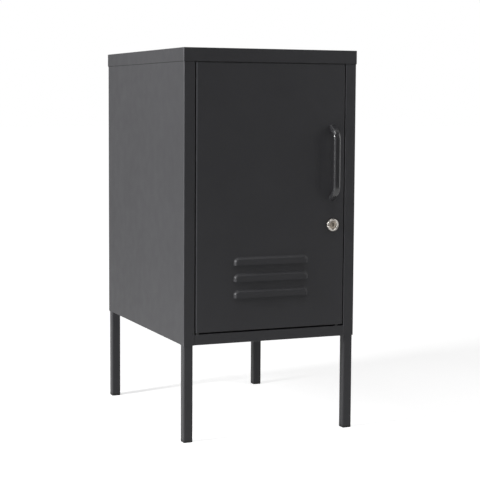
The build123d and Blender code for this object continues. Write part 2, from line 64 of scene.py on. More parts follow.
# Soft lamps, in metres and watts: place, target, width, height and power
lamps = {
    # Two at the left, for the lit side of the cabinet
    "wall": ((-2.15, -0.35, 1.0), (0, -0.1, 0.45), 0.4, 1.2, 13),
    "key": ((-2.15, -0.3, 1.15), (0, -0.1, 0.45), 0.4, 0.6, 50),
    # Two above the front, for the door, the louvres and the handle's bends
    "overhead": ((-0.1, -1.0, 2.3), (0, -0.2, 0.45), 1.4, 1.2, 4.5),
    "top": ((0.12, -0.85, 2.2), (0.1, -0.2, 0.45), 0.8, 0.8, 7.0),
    # One at the right, for the line along the handle
    "near": ((1.2, -0.8, 0.8), (0.15, -0.2, 0.5), 0.8, 1.3, 5.2),
    # A weak one in front, which also reaches into the open cabinet
    "fill": ((-0.9, -2.8, 0.75), (0, 0, 0.4), 1.2, 1.2, 4.6),
    # A narrow one at the right, for the edges that face it
    "edge": ((1.2, -0.5, 0.95), (0.05, -0.2, 0.5), 0.2, 0.9, 0.5),
}


def make_camera():
    """Camera at the photograph's viewing angle."""
    data = bpy.data.cameras.new("camera")
    data.sensor_width = sensor_width
    data.lens = camera_lens
    data.shift_y = frame_shift_share
    data.clip_end = view_reach
    camera = bpy.data.objects.new("camera", data)
    turn = Matrix.Rotation(math.radians(camera_yaw), 4, "Z")
    turn = turn @ Matrix.Rotation(math.radians(90 - camera_down), 4, "X")
    turn = turn @ Matrix.Rotation(math.radians(camera_roll), 4, "Z")
    camera.matrix_world = Matrix.Translation(camera_place * mm) @ turn
    bpy.context.scene.collection.objects.link(camera)
    bpy.context.scene.camera = camera


def make_lamp(name, place, target, width, height, power):
    """A soft box at a place, turned towards a target."""
    data = bpy.data.lights.new(name, "AREA")
    data.shape = "RECTANGLE"
    data.size = width
    data.size_y = height
    data.energy = power
    lamp = bpy.data.objects.new(name, data)
    lamp.location = place
    lamp.rotation_euler = (Vector(target) - Vector(place)).to_track_quat("-Z", "Y").to_euler()
    bpy.context.scene.collection.objects.link(lamp)


# Shader nodes


def join(tree, source, target):
    """Link an output socket to an input socket, or write a number, a place or a colour into it."""
    if isinstance(source, bpy.types.NodeSocket):
        tree.links.new(source, target)
    else:
        target.default_value = source


def math_node(tree, operation, first, second):
    """Result of a sum on two numbers."""
    node = tree.nodes.new("ShaderNodeMath")
    node.operation = operation
    join(tree, first, node.inputs[0])
    join(tree, second, node.inputs[1])
    return node.outputs["Value"]


def vector_node(tree, operation, first, second=None):
    """Result of a sum on one or two vectors: a number for LENGTH, or else a vector."""
    node = tree.nodes.new("ShaderNodeVectorMath")
    node.operation = operation
    join(tree, first, node.inputs[0])
    if second is not None:
        join(tree, second, node.inputs[1])
    return node.outputs["Value" if operation == "LENGTH" else "Vector"]


def parts_of(tree, vector):
    """The outputs X, Y and Z of a vector."""
    split = tree.nodes.new("ShaderNodeSeparateXYZ")
    tree.links.new(vector, split.inputs["Vector"])
    return split.outputs


def map_range(tree, value, low, high, to_low, to_high):
    """A number carried from one range to another, and held at that one's ends."""
    node = tree.nodes.new("ShaderNodeMapRange")
    join(tree, value, node.inputs["Value"])
    node.inputs["From Min"].default_value = low
    node.inputs["From Max"].default_value = high
    node.inputs["To Min"].default_value = to_low
    node.inputs["To Max"].default_value = to_high
    return node.outputs["Result"]


def blend_colour(tree, factor, first, second):
    """The first colour at a factor of 0, and the second at 1."""
    node = tree.nodes.new("ShaderNodeMix")
    node.data_type = "RGBA"
    join(tree, factor, node.inputs["Factor"])
    join(tree, first, node.inputs["A"])
    join(tree, second, node.inputs["B"])
    return node.outputs["Result"]


def place_vector(tree):
    """Place on the piece, in metres of the shared frame."""
    return tree.nodes.new("ShaderNodeTexCoord").outputs["Object"]


# World and floor

world_light = 0.015  # strength of the even light from all sides
floor_half = 30.0  # metres
floor_shade = 0.68  # its own grey
floor_lift = (0.75, 1.0)  # what the floor adds to its colour for the camera, near the cabinet and far off
floor_near_far = (0.8, 2.5)  # metres from the cabinet between which that changes
white_share = 0.46  # of the white background and floor, that most reflections show
room_share = 0.07  # the same, where they show the darker room in front of the cabinet
floor_turn = (-2.2, -0.8)  # metres in y between which the floor goes from the room to the white
room_turn = (-0.4, 0.0)  # y of the directions between which the background does so


def shown_background(tree, share):
    """How much of the white background a ray sees: all of it for rays of the camera and rays through
    glass, and for reflections the share that the studio gives in that direction."""
    path = tree.nodes.new("ShaderNodeLightPath")
    straight = math_node(tree, "MAXIMUM", path.outputs["Is Camera Ray"], path.outputs["Is Transmission Ray"])
    mirrored = math_node(tree, "MULTIPLY", path.outputs["Is Glossy Ray"], share)
    return math_node(tree, "MAXIMUM", straight, mirrored)


def make_world():
    """A white background, dimmer where reflections show the room, and a weak even light."""
    world = bpy.data.worlds.new("studio")
    bpy.context.scene.world = world
    world.use_nodes = True
    tree = world.node_tree
    background = tree.nodes["Background"]
    background.inputs["Color"].default_value = white
    direction = tree.nodes.new("ShaderNodeTexCoord").outputs["Generated"]
    share = map_range(tree, parts_of(tree, direction)["Y"], *room_turn, room_share, white_share)
    strength = map_range(tree, shown_background(tree, share), 0.0, 1.0, world_light, 1.0)
    tree.links.new(strength, background.inputs["Strength"])


def pale_floor():
    """Floor that takes a shadow, and that rays of the camera and reflections see as white further off."""
    material = bpy.data.materials.new("pale_floor")
    material.use_nodes = True
    tree = material.node_tree
    tree.nodes.clear()
    diffuse = tree.nodes.new("ShaderNodeBsdfDiffuse")
    diffuse.inputs["Color"].default_value = (floor_shade, floor_shade, floor_shade, 1)
    share = map_range(tree, parts_of(tree, place_vector(tree))["Y"], *floor_turn, room_share, white_share)
    away = vector_node(tree, "LENGTH", place_vector(tree))
    lift = map_range(tree, away, *floor_near_far, *floor_lift)
    glow = tree.nodes.new("ShaderNodeEmission")
    glow.inputs["Color"].default_value = white
    strength = math_node(tree, "MULTIPLY", shown_background(tree, share), lift)
    tree.links.new(strength, glow.inputs["Strength"])
    both = tree.nodes.new("ShaderNodeAddShader")
    tree.links.new(diffuse.outputs["BSDF"], both.inputs[0])
    tree.links.new(glow.outputs["Emission"], both.inputs[1])
    output = tree.nodes.new("ShaderNodeOutputMaterial")
    tree.links.new(both.outputs["Shader"], output.inputs["Surface"])
    return material


def make_floor():
    """A wide pale floor that keeps the cabinet's soft shadow."""
    mesh = bpy.data.meshes.new("floor")
    corners = [(-1, -1), (1, -1), (1, 1), (-1, 1)]
    mesh.from_pydata([(x * floor_half, y * floor_half, 0) for x, y in corners], [], [(0, 1, 2, 3)])
    mesh.materials.append(pale_floor())
    floor = bpy.data.objects.new("floor", mesh)
    bpy.context.scene.collection.objects.link(floor)


# Surfaces in general

noise_span = (0.3, 0.7)  # where nearly all of a noise lies


def new_material(name):
    """A material with a principled shader, its node tree and that shader."""
    material = bpy.data.materials.new(name)
    material.use_nodes = True
    tree = material.node_tree
    return material, tree, tree.nodes["Principled BSDF"]


def noise(tree, size, detail):
    """Noise whose features are about this size. The mapping scales it, because the noise's own scale
    stops at 1000."""
    mapping = tree.nodes.new("ShaderNodeMapping")
    mapping.inputs["Scale"].default_value = [1 / (size * mm)] * 3
    tree.links.new(place_vector(tree), mapping.inputs["Vector"])
    node = tree.nodes.new("ShaderNodeTexNoise")
    node.inputs["Scale"].default_value = 1.0
    node.inputs["Detail"].default_value = detail
    tree.links.new(mapping.outputs["Vector"], node.inputs["Vector"])
    return node.outputs["Fac"]


def add_patches(tree, shader, pattern, low, high):
    """Roughness that strays between two values in patches."""
    rough = map_range(tree, noise(tree, *pattern), *noise_span, low, high)
    tree.links.new(rough, shader.inputs["Roughness"])


def add_bump(tree, shader, layers):
    """Bump layers, each a pattern with its depth."""
    normal = None
    for pattern, depth in layers:
        bump = tree.nodes.new("ShaderNodeBump")
        bump.inputs["Strength"].default_value = 1.0
        bump.inputs["Distance"].default_value = depth * mm
        tree.links.new(noise(tree, *pattern), bump.inputs["Height"])
        if normal is not None:
            tree.links.new(normal, bump.inputs["Normal"])
        normal = bump.outputs["Normal"]
    tree.links.new(normal, shader.inputs["Normal"])


def tint(colour, gain=1.0, lift=0.0):
    """A colour times a gain and with a lift, as the four numbers that a socket takes."""
    return tuple(part * gain + lift for part in colour) + (1,)


# Powder coat: a level is a colour's brightness, from 0 for black to 1 for white

coat_level = 0.042
coat_wear_highlight_level = 0.068  # where an edge is lighter, partly as wear and partly as painted highlight
coat_blue = 1.08  # blue against red and green
coat_cloud_share = 0.1  # how far its level strays, of itself
coat_roughness = 0.42
coat_stray = 0.03  # how far its roughness strays
coat_gloss = 0.3
coat_peel = 0.012  # depth of the orange peel
fine_peel_share = 0.35  # depth of the finer layer, of the peel's
speckle_range = (0.58, 0.75)  # of the noise, over which a pale speck comes up
speckle_strength = 0.35
speckle_gain = 1.6  # level of a speck against the coat's
wear_highlight_width = 2.2  # of the lighter band along a sheet's edges, partly wear and partly painted highlight
wear_highlight_range = (0.35, 0.8)  # of that band times its noise, over which the lightening comes up
wear_highlight_strength = 0.6
# Painted highlight: a light line along some folds, where their rounded edges catch the lamps
fold_highlight_width = 1.3  # of the painted highlight line along a fold's rounded edge
fold_highlight_level = 0.11
fold_highlight_range = (0.6, 1.0)  # weakest and strongest stretches of that painted highlight
line_core_share = 0.4  # of its width that is at full strength

# Patterns: size of a feature, and detail
coat_clouds = (110.0, 3.0)
coat_speckle = (1.1, 1.0)
coat_patches = (24.0, 4.0)
edge_wear_and_highlight = (14.0, 4.0)
# Pattern by which the painted highlight lines vary in strength
fold_highlight_stray = (40.0, 3.0)
orange_peel = (3.2, 1.0)
fine_peel = (0.9, 1.0)

handle_level = 0.033
handle_roughness = 0.19
handle_peel = 0.001
handle_gloss = 0.6
handle_clear_weight = 0.4  # of the clear layer over the handle's coat
handle_clear_roughness = 0.15

door_gap = 2.0  # between the door and a stile
door_fold = 1.5  # from the door's left side to the painted highlight line on its fold
# How the names of the coated nodes start
coated_starts = (
    "side_", "front_", "back_panel", "floor_", "top_cap", "shelf", "door_pan", "leg_front", "leg_rear",
)


def charcoal(level):
    """The coat's nearly neutral colour at a level, a little on the blue side."""
    return (level, level, level * coat_blue, 1)


def edge_band(tree, low, high, width):
    """1 along the edges of a box between two corners, falling to 0 at a width."""
    away = vector_node(tree, "SUBTRACT", place_vector(tree), (low + high) / 2)
    depth = vector_node(tree, "SUBTRACT", (high - low) / 2, vector_node(tree, "ABSOLUTE", away))
    x, y, z = parts_of(tree, depth)
    low_pair = math_node(tree, "MINIMUM", x, y)
    high_pair = math_node(tree, "MAXIMUM", x, y)
    middle = math_node(tree, "MAXIMUM", low_pair, math_node(tree, "MINIMUM", high_pair, z))
    return map_range(tree, middle, 0.0, width * mm, 1.0, 0.0)


def upright_line(tree, place, width):
    """1 along an upright line through a place, falling to 0 at a width."""
    apart = vector_node(tree, "SUBTRACT", place_vector(tree), place)
    level = vector_node(tree, "MULTIPLY", apart, (1, 1, 0))
    distance = vector_node(tree, "LENGTH", level)
    return map_range(tree, distance, width * line_core_share * mm, width * mm, 1.0, 0.0)


def powder_coat(
    name, low, high, level=coat_level, roughness=coat_roughness, peel=coat_peel, gloss=coat_gloss, folds=(),
):
    """Satin charcoal powder coat over folded steel, with orange peel and fine speckle; its edges are
    lighter, partly as wear and partly as painted highlight, and light lines along some folds are painted
    highlights.
    """
    material, tree, shader = new_material(name)
    dark = charcoal(level * (1 - coat_cloud_share))
    light = charcoal(level * (1 + coat_cloud_share))
    shade = blend_colour(tree, noise(tree, *coat_clouds), dark, light)
    fleck = map_range(tree, noise(tree, *coat_speckle), *speckle_range, 0.0, speckle_strength)
    shade = blend_colour(tree, fleck, shade, charcoal(level * speckle_gain))
    # Lighter edges: partly scuffed wear, partly painted highlight where the edges catch the lamps
    wear_and_highlight = math_node(tree, "MULTIPLY", edge_band(tree, low, high, wear_highlight_width), noise(tree, *edge_wear_and_highlight))
    wear_and_highlight = map_range(tree, wear_and_highlight, *wear_highlight_range, 0.0, wear_highlight_strength)
    shade = blend_colour(tree, wear_and_highlight, shade, charcoal(coat_wear_highlight_level))
    # Painted highlight lines along the folds, uneven in strength
    for place in folds:
        painted_highlight = map_range(tree, noise(tree, *fold_highlight_stray), *noise_span, *fold_highlight_range)
        painted_highlight = math_node(tree, "MULTIPLY", upright_line(tree, place, fold_highlight_width), painted_highlight)
        shade = blend_colour(tree, painted_highlight, shade, charcoal(fold_highlight_level))
    tree.links.new(shade, shader.inputs["Base Color"])
    shader.inputs["Specular IOR Level"].default_value = gloss
    add_patches(tree, shader, coat_patches, roughness - coat_stray, roughness + coat_stray)
    add_bump(tree, shader, [(orange_peel, peel), (fine_peel, peel * fine_peel_share)])
    return material


def handle_coat(low, high):
    """Glossier and smoother coat of the handle."""
    material = powder_coat(
        "handle_coat", low, high,
        level=handle_level, roughness=handle_roughness, peel=handle_peel, gloss=handle_gloss,
    )
    shader = material.node_tree.nodes["Principled BSDF"]
    shader.inputs["Coat Weight"].default_value = handle_clear_weight
    shader.inputs["Coat Roughness"].default_value = handle_clear_roughness
    return material


def dress(node, material):
    """Give a CAD node its material."""
    slots = nodes[node].data.materials
    slots.clear()
    slots.append(material)


def dress_coated():
    """Powder coat on the folded sheets and the legs, each with its own edges, and with painted highlight
    lines along some folds.
    """
    for name in nodes:
        if not name.startswith(coated_starts):
            continue
        low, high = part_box(name)
        # Places of the painted highlight lines
        folds = []
        if name == "door_pan":
            low.y = door_face  # leaves out the louvres, which stand in front of it
            folds = [low + Vector((door_fold * mm, 0, 0))]
        elif name == "side_panel_right":
            folds = [Vector((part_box("door_pan")[1].x + door_gap * mm, low.y, 0))]
        elif name in ("side_panel_left", "top_cap"):
            folds = [low]
        dress(name, powder_coat("coat_" + name, low, high, folds=folds))


# Metals, plastics and rubbers

metal_clouds = (6.0, 3.0)
metal_patches = (2.0, 4.0)
metal_grain = (0.6, 2.0)
metal_grain_depth = 0.004
metal_dark_gain = 0.8  # for its darker clouds
metal_smooth_share = 0.8  # of its roughness, at its smoothest
metal_rough_share = 1.3  # and at its roughest

moulded_clouds = (9.0, 4.0)
moulded_patches = (4.0, 3.0)
moulded_grain = (1.2, 2.0)
moulded_grain_depth = 0.01
moulded_smoother = 0.06  # how far its roughness goes down and up
moulded_rougher = 0.08
dust_gain = 1.5  # for its dusty clouds
dust_lift = 0.01


def metal(name, colour, roughness, grainy=True):
    """Bare or plated metal with a fine uneven surface."""
    material, tree, shader = new_material(name)
    shade = blend_colour(tree, noise(tree, *metal_clouds), tint(colour, metal_dark_gain), tint(colour))
    tree.links.new(shade, shader.inputs["Base Color"])
    shader.inputs["Metallic"].default_value = 1.0
    add_patches(tree, shader, metal_patches, roughness * metal_smooth_share, roughness * metal_rough_share)
    if grainy:
        add_bump(tree, shader, [(metal_grain, metal_grain_depth)])
    return material


def moulded(name, colour, roughness):
    """Moulded rubber or plastic with a fine grain and a little dust."""
    material, tree, shader = new_material(name)
    dusty = tint(colour, dust_gain, dust_lift)
    shade = blend_colour(tree, noise(tree, *moulded_clouds), tint(colour), dusty)
    tree.links.new(shade, shader.inputs["Base Color"])
    add_patches(tree, shader, moulded_patches, roughness - moulded_smoother, roughness + moulded_rougher)
    add_bump(tree, shader, [(moulded_grain, moulded_grain_depth)])
    return material


def dress_small_parts():
    """Finishes of the small CAD parts, by how their nodes' names start."""
    nylon = moulded("nylon", (0.03, 0.03, 0.03), roughness=0.45)
    finishes = {
        "lock_nut": metal("nut_plate", (0.6, 0.6, 0.6), roughness=0.28),
        "lock_cam": metal("cam_plate", (0.62, 0.6, 0.56), roughness=0.35),
        "hinge_pin": metal("turned_steel", (0.06, 0.06, 0.06), roughness=0.3),
        "hinge_block": nylon,
        "hinge_washer": nylon,
        "cable_grommet": moulded("grommet_plastic", (0.02, 0.02, 0.02), roughness=0.45),
        "door_rest_pad": moulded("pad_plastic", (0.03, 0.03, 0.03), roughness=0.5),
        "door_buffers": moulded("buffer_rubber", (0.08, 0.08, 0.08), roughness=0.6),
        "foot_": moulded("foot_rubber", (0.012, 0.012, 0.012), roughness=0.6),
    }
    for start, material in finishes.items():
        for name in nodes:
            if name.startswith(start):
                dress(name, material)


# Pieces modelled here, in place of plainer solids or beside them

crease_angle = 35  # degrees from which an edge stays sharp
corner_digits = 6  # decimals of a metre by which the corners of a mesh are told apart
least_part = 1e-6  # keeps a divisor above zero

# Directions of an angle's cosine and sine round y, and round z
across_y = (Vector((1, 0, 0)), Vector((0, 0, 1)))
across_z = (Vector((1, 0, 0)), Vector((0, 1, 0)))


def make_piece(name, shape, material, body, replaced=None):
    """Turn mesh code into a piece that rides on a body and may stand for a CAD node."""
    bmesh.ops.recalc_face_normals(shape, faces=shape.faces)
    mesh = bpy.data.meshes.new(name)
    shape.to_mesh(mesh)
    shape.free()
    mesh.shade_smooth()
    mesh.set_sharp_from_angle(angle=math.radians(crease_angle))
    mesh.materials.append(material)
    piece = bpy.data.objects.new(name, mesh)
    bpy.context.scene.collection.objects.link(piece)
    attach(piece, body)
    if replaced:
        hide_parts(replaced)


def solids_of(node):
    """Lowest and highest corner of each separate solid of a node, found by following its edges."""
    mesh = nodes[node].data
    corners = [tuple(round(part, corner_digits) for part in vertex.co) for vertex in mesh.vertices]
    leader = {corner: corner for corner in corners}

    def first_of(corner):
        while leader[corner] != corner:
            leader[corner] = leader[leader[corner]]
            corner = leader[corner]
        return corner

    for edge in mesh.edges:
        one, other = (first_of(corners[index]) for index in edge.vertices)
        leader[one] = other
    groups = {}
    for corner in leader:
        groups.setdefault(first_of(corner), []).append(corner)
    boxes = []
    for points in groups.values():
        columns = list(zip(*points))
        boxes.append([Vector([end(column) for column in columns]) for end in (min, max)])
    return sorted(boxes, key=lambda box: tuple(box[0]))


def measures(low, high):
    """Centre of a box, in metres, and its three sizes."""
    return (low + high) / 2, [(most - least) / mm for least, most in zip(low, high)]


def skin(shape, loops, closed=False):
    """Faces between neighbouring loops of points. A closed row of loops also joins its last loop to its
    first, and an open one gets a face over each end."""
    pairs = list(zip(loops, loops[1:]))
    if closed:
        pairs.append((loops[-1], loops[0]))
    else:
        shape.faces.new(loops[0])
        shape.faces.new(loops[-1])
    for first, second in pairs:
        for index in range(len(first)):
            after = (index + 1) % len(first)
            shape.faces.new((first[index], first[after], second[after], second[index]))


def lathe(shape, rings, origin, axis, across, steps, closed=False):
    """Rings of points round an axis, joined by faces. A ring is a radius and a height, and either may be a
    function of the angle."""
    loops = []
    for radius, height in rings:
        loop = []
        for index in range(steps):
            turn = 2 * math.pi * index / steps
            reach = radius(turn) if callable(radius) else radius
            rise = height(turn) if callable(height) else height
            around = across[0] * math.cos(turn) + across[1] * math.sin(turn)
            loop.append(shape.verts.new(Vector(origin) + (around * reach + Vector(axis) * rise) * mm))
        loops.append(loop)
    skin(shape, loops, closed)


def smaller(first, second):
    """The smaller of two radii, by the angle."""
    return lambda turn: min(first(turn), second(turn))


def rectangle(half_width, half_height):
    """Radius of a rectangle, by the angle."""
    def radius(turn):
        wide = half_width / max(abs(math.cos(turn)), least_part)
        return min(wide, half_height / max(abs(math.sin(turn)), least_part))
    return radius


def cross(arm, half_width):
    """Radius of a cross recess, by the angle."""
    along, upright = rectangle(arm, half_width), rectangle(half_width, arm)
    return lambda turn: max(along(turn), upright(turn))


def hexagon(flats, limit=math.inf):
    """Radius of a hexagon, by the angle, cut off at a limit."""
    def radius(turn):
        sector = math.radians(60)
        return min(limit, flats / 2 / math.cos((turn + sector / 2) % sector - sector / 2))
    return radius


def thread(base, depth, pitch, height):
    """Radius of a screw thread at a height, by the angle."""
    def radius(turn):
        share = (height / pitch + turn / (2 * math.pi)) % 1.0
        return base + depth * (1 - abs(2 * share - 1))
    return radius


# Screws, nuts and rivets

screw_steps = 36  # points round a screw or a nut
rivet_steps = 28
rounding_steps = 5  # along a rounded edge
rings_each_turn = 4  # of a thread

# Cross recess from its bottom upwards: reach and half width of its arms, and its depth, of their full reach
recess_shares = [(0.34, 0.2, 0.62), (0.7, 0.24, 0.3)]
recess_width_share = 0.3
recess_mouth_shares = (1.05, 0.34)  # the arms' reach and half width at the mouth
recess_edge = 0.02  # depth of the mouth's broken edge
head_underside_edge = 0.12
screw_pitch = 1.0
screw_thread_depth = 0.35
screw_thread_run = 4.0  # length of the threaded end
screw_tip = 0.6  # length of the end that narrows
screw_tip_cut = 0.3  # how far its end is narrower than the thread's foot

leg_head_height_share = 3.4 / 6  # of the head's radius, as the rest of its shares
leg_head_round_share = 0.3
leg_shank_share = 1 / 2
leg_recess_share = 1 / 2

nut_bore_share = 0.305  # of the distance across its flats, as the rest of its shares
nut_upper_corner_share = 0.53
nut_upper_bevel_share = 0.06
nut_lower_bevel_share = 0.08
nut_lower_corner_share = 0.52
nut_face_share = 0.49
nut_face_edge = 0.1
nut_bore_bevel = 0.5

# Rivet's head from its broken mandrel over its dome to its rim: shares of the head's radius and height
rivet_head_shares = [
    (0.2, 0.55), (0.26, 0.3), (0.29, 0.95), (0.42, 1.0), (0.7, 0.86), (0.9, 0.52), (1.0, 0.12), (0.98, 0.0),
]
rivet_head_height = 0.8
rivet_shank_share = 1 / 2
rivet_bulb_shares = (0.72, 0.75, 0.62, 0.3)  # radii of the bulb from the sheet to its end
rivet_grip = 1.6  # thickness of the sheets that it holds
rivet_bulb_start = 0.05  # from the sheet to the bulb's full radius
rivet_bulb_middle = 0.6  # and to its middle
rivet_bulb_round = 0.1  # length of its rounded end

door_head_height = 2.4
door_head_round = 0.9
door_shank_share = 0.35
door_recess_share = 0.52


def quarter(radius, height, size):
    """Rings of a rounded outer edge whose outside has this radius and whose top has this height."""
    rings = []
    for index in range(rounding_steps + 1):
        turn = math.radians(90 * index / rounding_steps)
        rings.append((radius - size + size * math.sin(turn), height - size + size * math.cos(turn)))
    return rings


def screw_rings(head_radius, head_height, round_edge, shank, length, recess):
    """A pan-head screw with a cross recess, from the bottom of its recess to its narrowed end."""
    rings = []
    for arm, half_width, depth in recess_shares:
        rings.append((cross(recess * arm, recess * half_width), head_height - recess * depth))
    rings.append((cross(recess, recess * recess_width_share), head_height - recess_edge))
    rings.append((cross(*(recess * share for share in recess_mouth_shares)), head_height))
    rings += quarter(head_radius, head_height, round_edge)
    rings += [(head_radius, head_underside_edge), (head_radius - head_underside_edge, 0.0), (shank, 0.0)]
    height = screw_thread_run - length
    rings.append((shank, height))
    foot = shank - screw_thread_depth
    while height > screw_tip - length:
        rings.append((thread(foot, screw_thread_depth, screw_pitch, height), height))
        height -= screw_pitch / rings_each_turn
    rings.append((foot - screw_tip_cut, -length))
    return rings


def make_leg_screws(zinc):
    """Screws that hold the legs, with recessed heads inside and threads under the nuts."""
    shape = bmesh.new()
    for low, high in solids_of("leg_bolts"):
        centre, (width, _, total) = measures(low, high)
        head_radius = width / 2
        head_height = head_radius * leg_head_height_share
        rings = screw_rings(
            head_radius, head_height, head_radius * leg_head_round_share,
            head_radius * leg_shank_share, total - head_height, head_radius * leg_recess_share,
        )
        origin = (centre.x, centre.y, high.z - head_height * mm)
        lathe(shape, rings, origin, (0, 0, 1), across_z, screw_steps)
    make_piece("leg_screws", shape, zinc, "carcass", "leg_bolts")


def make_leg_nuts(zinc):
    """Chamfered hexagonal nuts under the leg plates."""
    shape = bmesh.new()
    for low, high in solids_of("leg_nuts"):
        centre, (width, breadth, height) = measures(low, high)
        flats = min(width, breadth)
        bore = flats * nut_bore_share
        rings = [
            (bore, 0.0),
            (hexagon(flats, flats * nut_upper_corner_share), 0.0),
            (hexagon(flats), flats * nut_upper_bevel_share),
            (hexagon(flats), height - flats * nut_lower_bevel_share),
            (hexagon(flats, flats * nut_lower_corner_share), height - nut_face_edge),
            (hexagon(flats, flats * nut_face_share), height),
            (bore + nut_bore_bevel, height),
            (bore, height - nut_bore_bevel),
        ]
        origin = (centre.x, centre.y, high.z)
        lathe(shape, rings, origin, (0, 0, -1), across_z, screw_steps, closed=True)
    make_piece("leg_nuts_hexagon", shape, zinc, "carcass", "leg_nuts")


def make_blind_rivets(zinc):
    """Blind rivets, each with a domed head, the broken mandrel in its middle and a bulb inside."""
    shape = bmesh.new()
    for low, high in solids_of("back_rivets"):
        centre, (width, total, _) = measures(low, high)
        radius = width / 2
        shank = radius * rivet_shank_share
        end = rivet_head_height - total
        bulb_heights = (
            -rivet_grip - rivet_bulb_start, -rivet_grip - rivet_bulb_middle, end + rivet_bulb_round, end,
        )
        rings = [(radius * wide, rivet_head_height * tall) for wide, tall in rivet_head_shares]
        rings += [(shank, 0.0), (shank, -rivet_grip)]
        rings += [(radius * share, height) for share, height in zip(rivet_bulb_shares, bulb_heights)]
        origin = (centre.x, high.y - rivet_head_height * mm, centre.z)
        lathe(shape, rings, origin, (0, 1, 0), across_y, rivet_steps)
    make_piece("blind_rivets", shape, zinc, "carcass", "back_rivets")


def make_door_screws(name, node, body, zinc):
    """Screws that are seen from inside the door: those of the handle, or the one of the lock's cam."""
    shape = bmesh.new()
    for low, high in solids_of(node):
        centre, (width, total, _) = measures(low, high)
        head_radius = width / 2
        rings = screw_rings(
            head_radius, door_head_height, door_head_round,
            head_radius * door_shank_share, total - door_head_height, head_radius * door_recess_share,
        )
        origin = (centre.x, high.y - door_head_height * mm, centre.z)
        lathe(shape, rings, origin, (0, 1, 0), across_y, screw_steps)
    make_piece(name, shape, zinc, body, node)


# Painted shade under the cap

shade_strip_height = 1.1  # of the near-black strip that paints the shade under the cap's edge
shade_strip_inset = 0.3  # behind the cap's face
shade_strip_edge_share = 0.6  # of its height, at its outside


def make_cap_shade_strip():
    """Painted shade of the gap under the cap's skirt: a thin near-black frame under the skirt, where there
    is only shade.
    """
    low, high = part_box("top_cap")
    left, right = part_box("side_panel_left"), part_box("side_panel_right")
    inset = shade_strip_inset * mm
    height = shade_strip_height * mm
    outer = (low.x + inset, low.y + inset, high.x - inset, high.y - inset)
    inner = (left[0].x, right[0].y, right[1].x, right[1].y)
    shape = bmesh.new()
    loops = []
    for box, drop in ((outer, 0.0), (outer, height * shade_strip_edge_share), (inner, height), (inner, 0.0)):
        corners = [(box[0], box[1]), (box[2], box[1]), (box[2], box[3]), (box[0], box[3])]
        loops.append([shape.verts.new((x, y, low.z - drop)) for x, y in corners])
    skin(shape, loops, closed=True)
    # Near-black, dull material that paints the gap's shade
    dark = moulded("painted_gap_shade", (0.006, 0.006, 0.006), roughness=0.8)
    make_piece("cap_shade_strip", shape, dark, "carcass")


# Bow handle: its outer face rises from the door at a slant and bends gently into the straight grip

handle_ends = (69.8, 74.6)  # from the middle of its screws to the end of its upper and its lower foot
bend_controls = [(0.0, 0.0), (5.0, 6.5), (11.5, 23.0), (29.0, 23.0)]  # inwards from an end, and outwards
handle_thickness = 7.5  # of the grip, outwards
handle_foot_thickness = 10.5  # at the door
handle_square = 3.2  # power that makes the bar's section rounder at 2 and squarer above
bend_steps = 24
foot_overrun = 2  # steps by which a foot starts behind the door's face, where it is cut off
grip_steps = 20
bar_steps = 40  # round the bar


def bow_bend(reach):
    """Points of the outer face from one foot to the grip, on a curve with four control points: distance
    from the handle's end, and from the door."""
    points = []
    for index in range(-foot_overrun, bend_steps + 1):
        share = index / bend_steps
        rest = 1 - share
        weights = [rest**3, 3 * rest**2 * share, 3 * rest * share**2, share**3]
        run = sum(weight * control[0] for weight, control in zip(weights, bend_controls))
        rise = sum(weight * control[1] for weight, control in zip(weights, bend_controls))
        points.append((run, rise * reach / bend_controls[-1][1]))
    return points


def bow_line(reach):
    """Points of the whole outer face, from the top: height over the handle's middle, and distance from
    the door."""
    bend = bow_bend(reach)
    upper = [(handle_ends[0] - run, rise) for run, rise in bend]
    lower = [(run - handle_ends[1], rise) for run, rise in reversed(bend)]
    start, end = upper[-1][0], lower[0][0]
    grip = [(start + (end - start) * index / grip_steps, reach) for index in range(1, grip_steps)]
    return upper + grip + lower


def bar_section(middle, half_width, half_depth):
    """Points round the bar's rounded section, whose half sizes are given as vectors."""
    points = []
    for step in range(bar_steps):
        turn = 2 * math.pi * step / bar_steps
        wide = math.copysign(abs(math.cos(turn)) ** (2 / handle_square), math.cos(turn))
        deep = math.copysign(abs(math.sin(turn)) ** (2 / handle_square), math.sin(turn))
        points.append(middle + half_width * wide + half_depth * deep)
    return points


def make_bow_handle():
    """Bow handle: a rounded bar, thicker at its feet, swept along its line and cut off at the door."""
    low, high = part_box("door_handle")
    centre, (width, reach, _) = measures(low, high)
    half_width = Vector((width / 2 * mm, 0, 0))
    line = bow_line(reach)
    shape = bmesh.new()
    loops = []
    for index, (run, rise) in enumerate(line):
        before = line[max(index - 1, 0)]
        after = line[min(index + 1, len(line) - 1)]
        along = Vector((0, before[1] - after[1], after[0] - before[0])).normalized()
        inward = (Vector((0, 1, 0)) - along * along.y).normalized()
        grip_share = max(0.0, min(1.0, rise / reach))
        thickness = handle_foot_thickness + (handle_thickness - handle_foot_thickness) * grip_share
        half_depth = inward * thickness / 2 * mm
        middle = Vector((centre.x, high.y - rise * mm, centre.z + run * mm)) + half_depth
        loops.append([shape.verts.new(place) for place in bar_section(middle, half_width, half_depth)])
    skin(shape, loops)
    everything = shape.verts[:] + shape.edges[:] + shape.faces[:]
    cut = bmesh.ops.bisect_plane(
        shape, geom=everything, plane_co=(0, high.y, 0), plane_no=(0, 1, 0), clear_outer=True,
    )
    edges = [item for item in cut["geom_cut"] if isinstance(item, bmesh.types.BMEdge)]
    bmesh.ops.holes_fill(shape, edges=edges)
    make_piece("bow_handle", shape, handle_coat(low, high), "door", "door_handle")


# Cam lock

lock_steps = 96
lock_clearance = 0.05  # between the plug and the body

rim_edge = 0.15  # bevel where the rim meets the door
rim_start = 2.6  # from the rim's front back to where its rounding starts
dish_depth = 1.6
